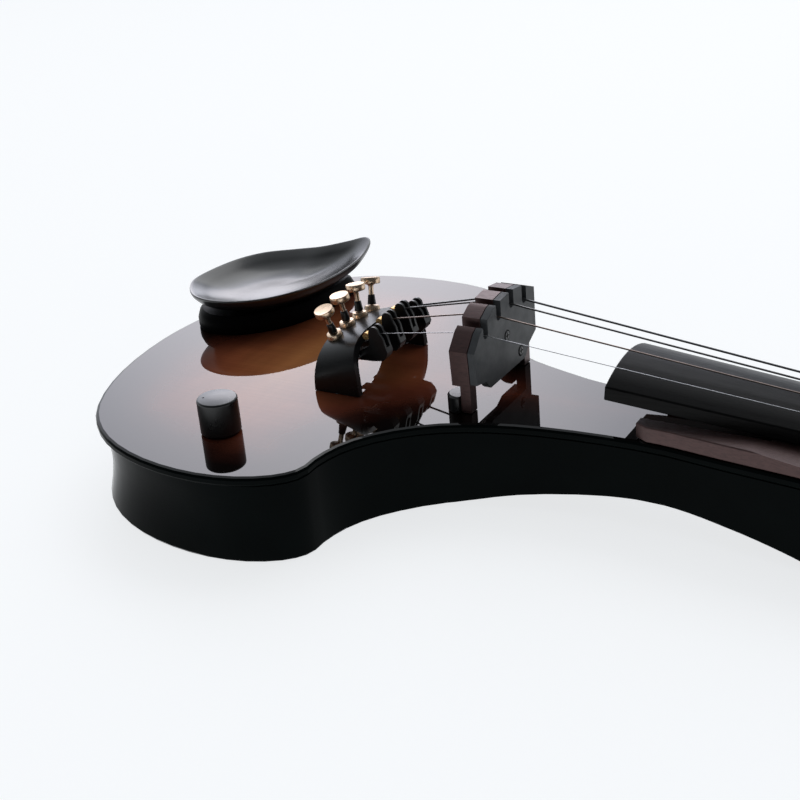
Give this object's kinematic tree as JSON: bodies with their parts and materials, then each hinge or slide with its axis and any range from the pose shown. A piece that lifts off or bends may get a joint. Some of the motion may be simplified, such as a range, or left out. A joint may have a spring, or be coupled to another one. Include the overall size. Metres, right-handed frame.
{
  "type": "electric violin",
  "caption": "Slim one-sided electric violin with a flat sunburst top, screwed bridge, tailpiece arch with fine tuners, chin rest, volume knob, fingerboard and pegs.",
  "frame": {"origin": "on the flat back, on the centre line under the middle of the lower bout", "axes": "+X runs from the tail to the scroll, +Y to the bass side, +Z out of the top towards the strings"},
  "size_m": [0.5972, 0.2081, 0.076],
  "materials": {
    "black_lacquer": "high gloss black lacquer over wood",
    "sunburst_lacquer": "figured wood stained amber in the middle, red-brown and black at the edge, under a thick gloss lacquer",
    "black_composite": "satin black",
    "blackened_steel": "blackened, satin",
    "bright_steel": "bright, finely machined",
    "battery_case": "plain printed can, left blank",
    "circuit_board": "solder mask",
    "satin_black_cup": "smooth satin black",
    "satin_black_metal": "satin black coating",
    "gilt": "polished gold plating with a knurled edge",
    "ball_brass": "plain brass",
    "rosewood": "open-pored, oiled",
    "grey_black_plate": "matte grey-black",
    "ebony": "satin",
    "neck_lacquer": "gloss black lacquer",
    "string_wire": "plain steel and fine flat winding"
  },
  "bodies": {
    "instrument": {"fingerboard": "ebony", "neck": "neck_lacquer", "nut": "ebony", "body_shell": "black_lacquer", "top_plate": "sunburst_lacquer", "cavity_cover": "black_composite", "cover_screw_1": "blackened_steel", "cover_screw_2": "blackened_steel", "cover_screw_3": "blackened_steel", "cover_screw_4": "blackened_steel", "battery": "battery_case", "battery_clip": "bright_steel", "preamp_board": "circuit_board", "output_jack": "blackened_steel", "jack_nut": "bright_steel", "potentiometer": "blackened_steel", "chin_rest_cup": "satin_black_cup", "chin_rest_block": "satin_black_cup", "chin_rest_bolt_1": "blackened_steel", "chin_rest_bolt_2": "blackened_steel", "tailpiece_arch": "satin_black_metal", "arch_bolt_1": "blackened_steel", "arch_bolt_2": "blackened_steel", "lever_axle": "bright_steel", "tuner_collar_e": "gilt", "tuner_collar_a": "gilt", "tuner_collar_d": "gilt", "tuner_collar_g": "gilt", "bridge_core": "rosewood", "bridge_plate": "grey_black_plate", "bridge_screw_1": "blackened_steel", "bridge_screw_2": "blackened_steel", "bridge_post_treble": "satin_black_metal", "bridge_post_bass": "satin_black_metal", "fingerboard_riser": "rosewood", "string_e": "string_wire", "string_a": "string_wire", "string_d": "string_wire", "string_g": "string_wire"},
    "knob": {"volume_knob": "black_composite", "potentiometer_shaft": "bright_steel"},
    "tuner_e": {"tuner_screw_e": "gilt"},
    "lever_e": {"tuner_lever_e": "satin_black_metal", "ball_end_e": "ball_brass"},
    "tuner_a": {"tuner_screw_a": "gilt"},
    "lever_a": {"tuner_lever_a": "satin_black_metal", "ball_end_a": "ball_brass"},
    "tuner_d": {"tuner_screw_d": "gilt"},
    "lever_d": {"tuner_lever_d": "satin_black_metal", "ball_end_d": "ball_brass"},
    "tuner_g": {"tuner_screw_g": "gilt"},
    "lever_g": {"tuner_lever_g": "satin_black_metal", "ball_end_g": "ball_brass"},
    "peg_e": {"peg_e": "ebony"},
    "peg_a": {"peg_a": "ebony"},
    "peg_d": {"peg_d": "ebony"},
    "peg_g": {"peg_g": "ebony"}
  },
  "joints": [
    {"name": "volume_turn", "type": "hinge", "parent": "instrument", "child": "knob", "pos_m": [-0.0037, -0.0732, 0.0436], "axis": [0, 0, 1], "range_deg": [-150, 150]},
    {"name": "tuner_e_turn", "type": "hinge", "parent": "instrument", "child": "tuner_e", "pos_m": [0.0145, -0.01479, 0.05511], "axis": [0.1392, 0.273, -0.9519], "range_deg": [0, 900]},
    {"name": "lever_e_tilt", "type": "hinge", "parent": "instrument", "child": "lever_e", "pos_m": [0.0276, -0.01602, 0.0501], "axis": [0, -1, 0], "range_deg": [0, 5]},
    {"name": "tuner_a_turn", "type": "hinge", "parent": "instrument", "child": "tuner_a", "pos_m": [0.0145, -0.00489, 0.05622], "axis": [0.1392, 0.1035, -0.9848], "range_deg": [0, 900]},
    {"name": "lever_a_tilt", "type": "hinge", "parent": "instrument", "child": "lever_a", "pos_m": [0.0276, -0.00521, 0.0501], "axis": [0, -1, 0], "range_deg": [0, 5]},
    {"name": "tuner_d_turn", "type": "hinge", "parent": "instrument", "child": "tuner_d", "pos_m": [0.0145, 0.00489, 0.05622], "axis": [0.1392, -0.1035, -0.9848], "range_deg": [0, 900]},
    {"name": "lever_d_tilt", "type": "hinge", "parent": "instrument", "child": "lever_d", "pos_m": [0.0276, 0.00549, 0.0501], "axis": [0, -1, 0], "range_deg": [0, 5]},
    {"name": "tuner_g_turn", "type": "hinge", "parent": "instrument", "child": "tuner_g", "pos_m": [0.0145, 0.01479, 0.05511], "axis": [0.1392, -0.273, -0.9519], "range_deg": [0, 900]},
    {"name": "lever_g_tilt", "type": "hinge", "parent": "instrument", "child": "lever_g", "pos_m": [0.0276, 0.0161, 0.0501], "axis": [0, -1, 0], "range_deg": [0, 5]},
    {"name": "peg_e_turn", "type": "hinge", "parent": "instrument", "child": "peg_e", "pos_m": [0.43712, 0, 0.01213], "axis": [0, 1, 0], "continuous": true},
    {"name": "peg_a_turn", "type": "hinge", "parent": "instrument", "child": "peg_a", "pos_m": [0.46997, 0, 0.00897], "axis": [0, 1, 0], "continuous": true},
    {"name": "peg_d_turn", "type": "hinge", "parent": "instrument", "child": "peg_d", "pos_m": [0.45404, 0, 0.0105], "axis": [0, 1, 0], "continuous": true},
    {"name": "peg_g_turn", "type": "hinge", "parent": "instrument", "child": "peg_g", "pos_m": [0.42219, 0, 0.01357], "axis": [0, 1, 0], "continuous": true}
  ],
  "couplings": [
    {"joint": "lever_e_tilt", "follows": "tuner_e_turn", "ratio": 0.0055},
    {"joint": "lever_a_tilt", "follows": "tuner_a_turn", "ratio": 0.0055},
    {"joint": "lever_d_tilt", "follows": "tuner_d_turn", "ratio": 0.0055},
    {"joint": "lever_g_tilt", "follows": "tuner_g_turn", "ratio": 0.0055}
  ]
}
